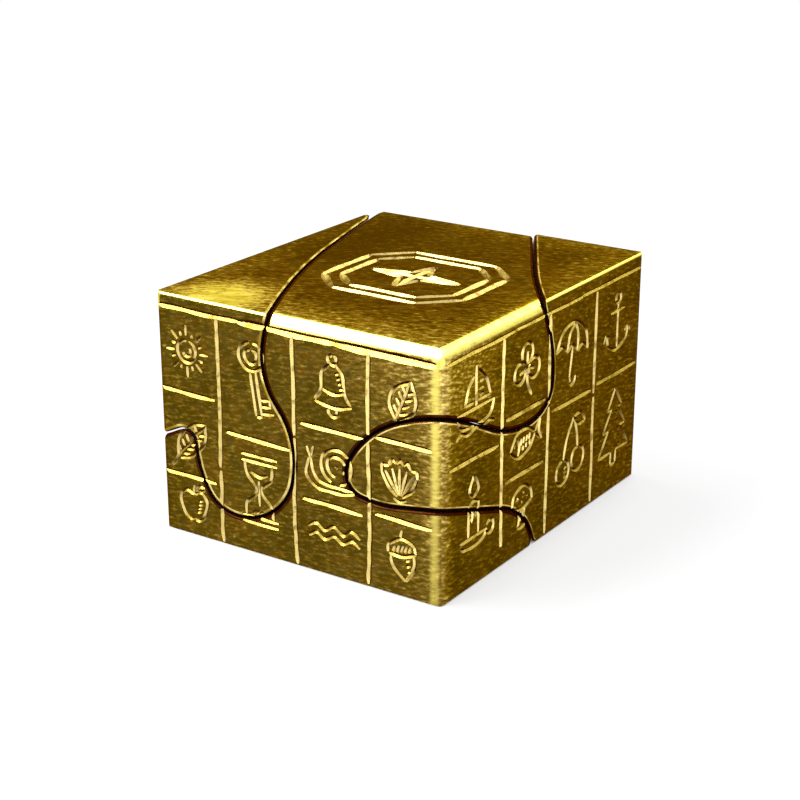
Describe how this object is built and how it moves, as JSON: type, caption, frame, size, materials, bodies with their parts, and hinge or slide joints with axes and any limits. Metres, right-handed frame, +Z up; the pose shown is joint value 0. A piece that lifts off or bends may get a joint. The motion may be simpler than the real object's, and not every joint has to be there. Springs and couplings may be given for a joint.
{
  "type": "interlocking block puzzle",
  "caption": "Solid brushed brass block, engraved on its sides and cut right through by curved slanting cuts into interlocking pieces that slide apart.",
  "frame": {"origin": "middle of the block's underside", "axes": "+Z up; the front left side faces -Y and runs along X; the front right side faces +X and runs along Y"},
  "size_m": [0.04, 0.047, 0.03],
  "materials": {
    "brushed_brass": "satin brushed"
  },
  "bodies": {
    "left_piece": {"left_piece": "brushed_brass"},
    "middle_piece": {"middle_piece": "brushed_brass"},
    "right_piece": {"right_piece": "brushed_brass"}
  },
  "joints": [
    {"name": "left_draw", "type": "slide", "parent": "middle_piece", "child": "left_piece", "axis": [0.5255, -0.779, 0.342], "range_m": [0, 0.038]},
    {"name": "right_draw", "type": "slide", "parent": "middle_piece", "child": "right_piece", "axis": [0.5255, -0.779, 0.342], "range_m": [0, 0.06]}
  ]
}
